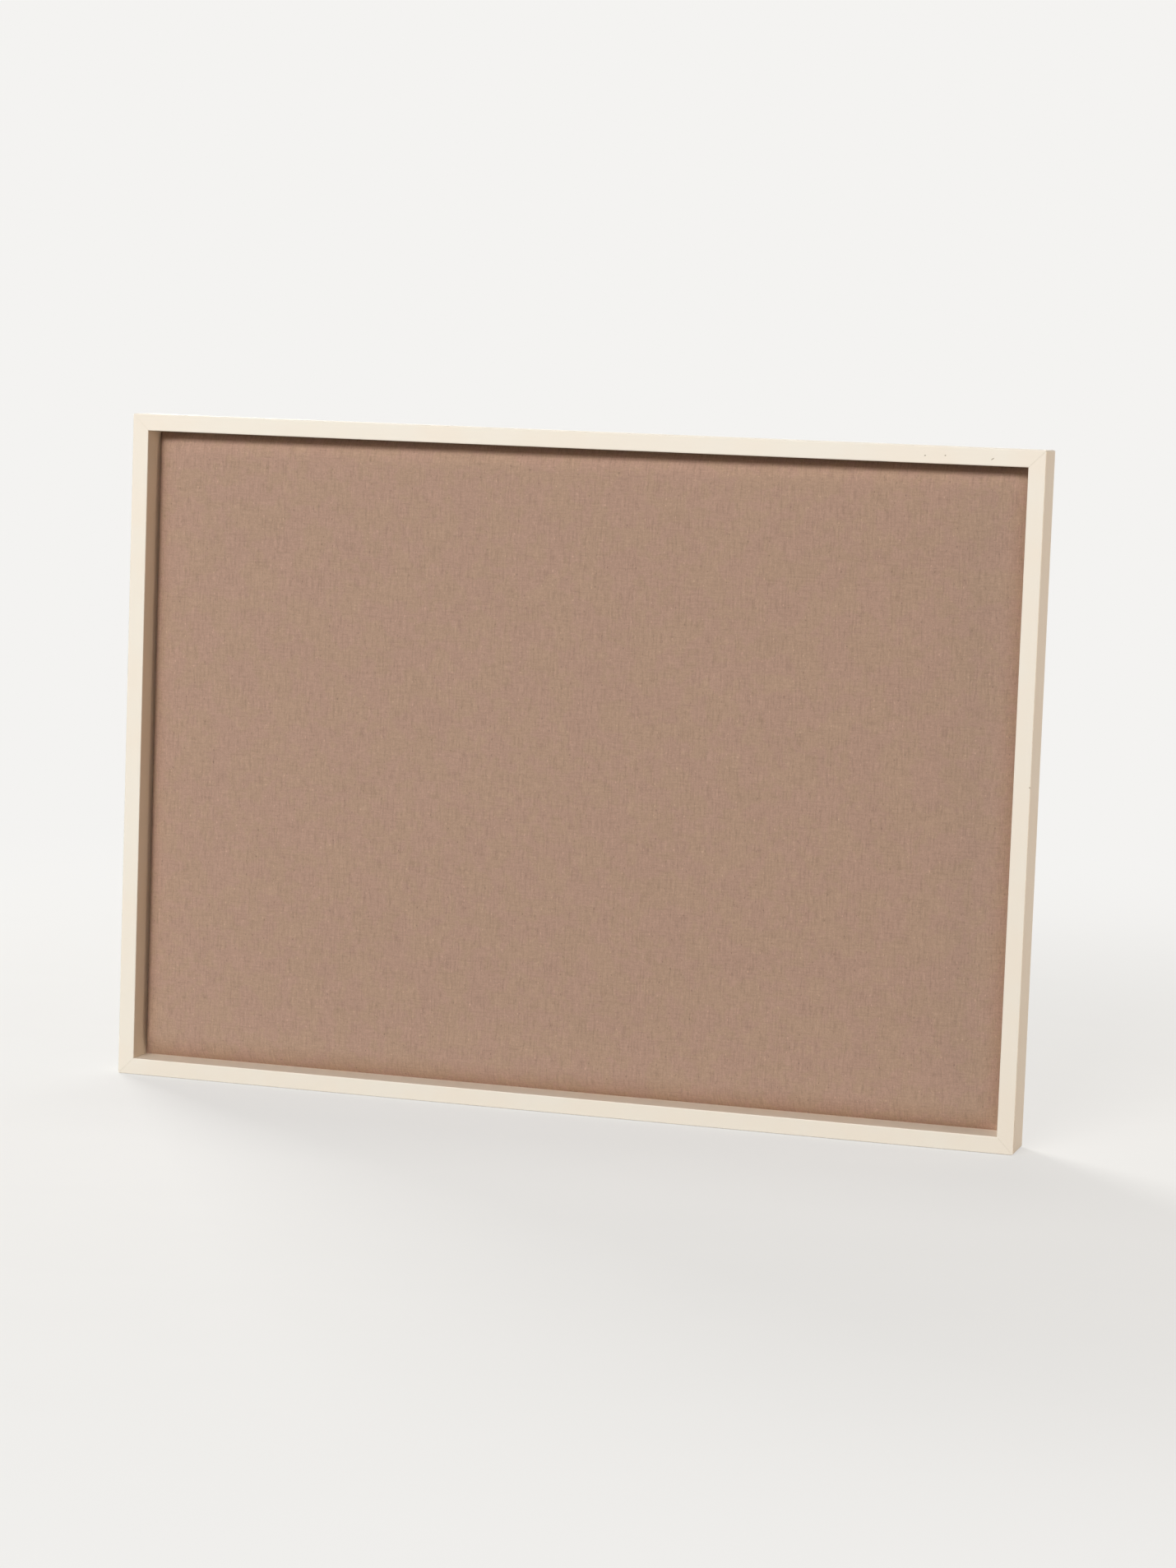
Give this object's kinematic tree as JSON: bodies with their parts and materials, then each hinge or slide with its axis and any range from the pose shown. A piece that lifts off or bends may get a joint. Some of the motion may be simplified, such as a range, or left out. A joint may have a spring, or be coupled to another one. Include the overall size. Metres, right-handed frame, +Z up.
{
  "type": "pinboard",
  "caption": "Landscape pinboard: padded fabric panel set deep in a mitred, lacquered box frame, with strap hangers and rubber bumpers on the back.",
  "frame": {"origin": "centre of the overall box: the frame's front face is 27.5 mm in front of it and the bumpers' backs are 27.5 mm behind it", "axes": "+X to the viewer's right along the board's width, +Y into the wall, +Z up"},
  "size_m": [1, 0.055, 0.725],
  "materials": {
    "frame_lacquer": "satin",
    "cover_fabric": "matte",
    "padding_wadding": "matte",
    "core_softboard": "matte",
    "back_hardboard": "matte",
    "zinc_steel": "satin",
    "spring_steel": "satin",
    "bumper_rubber": "matte"
  },
  "bodies": {
    "board": {"frame_rail_top": "frame_lacquer", "frame_rail_bottom": "frame_lacquer", "frame_stile_left": "frame_lacquer", "frame_stile_right": "frame_lacquer", "retainer_tab_top_1": "spring_steel", "retainer_tab_top_2": "spring_steel", "retainer_tab_top_3": "spring_steel", "retainer_tab_top_4": "spring_steel", "retainer_tab_bottom_1": "spring_steel", "retainer_tab_bottom_2": "spring_steel", "retainer_tab_bottom_3": "spring_steel", "retainer_tab_bottom_4": "spring_steel", "retainer_tab_left_1": "spring_steel", "retainer_tab_left_2": "spring_steel", "retainer_tab_left_3": "spring_steel", "retainer_tab_right_1": "spring_steel", "retainer_tab_right_2": "spring_steel", "retainer_tab_right_3": "spring_steel", "corner_nail_top_left_1": "spring_steel", "corner_nail_top_left_2": "spring_steel", "corner_nail_top_right_1": "spring_steel", "corner_nail_top_right_2": "spring_steel", "corner_nail_bottom_left_1": "spring_steel", "corner_nail_bottom_left_2": "spring_steel", "corner_nail_bottom_right_1": "spring_steel", "corner_nail_bottom_right_2": "spring_steel", "fabric_cover": "cover_fabric", "padding": "padding_wadding", "pin_core": "core_softboard", "back_board": "back_hardboard", "hanger_strap_left": "zinc_steel", "hanger_screw_left_upper": "zinc_steel", "hanger_screw_left_lower": "zinc_steel", "hanger_strap_right": "zinc_steel", "hanger_screw_right_upper": "zinc_steel", "hanger_screw_right_lower": "zinc_steel", "wall_bumper_top_left": "bumper_rubber", "wall_bumper_top_right": "bumper_rubber", "wall_bumper_bottom_left": "bumper_rubber", "wall_bumper_bottom_right": "bumper_rubber"},
    "ring_left": {"hanger_ring_left": "zinc_steel"},
    "ring_right": {"hanger_ring_right": "zinc_steel"}
  },
  "joints": [
    {"name": "ring_left_swing", "type": "hinge", "parent": "board", "child": "ring_left", "pos_m": [-0.4925, 0.0248, 0.2125], "axis": [1, 0, 0], "range_deg": [0, 178]},
    {"name": "ring_right_swing", "type": "hinge", "parent": "board", "child": "ring_right", "pos_m": [0.4925, 0.0248, 0.2125], "axis": [1, 0, 0], "range_deg": [0, 178]}
  ]
}
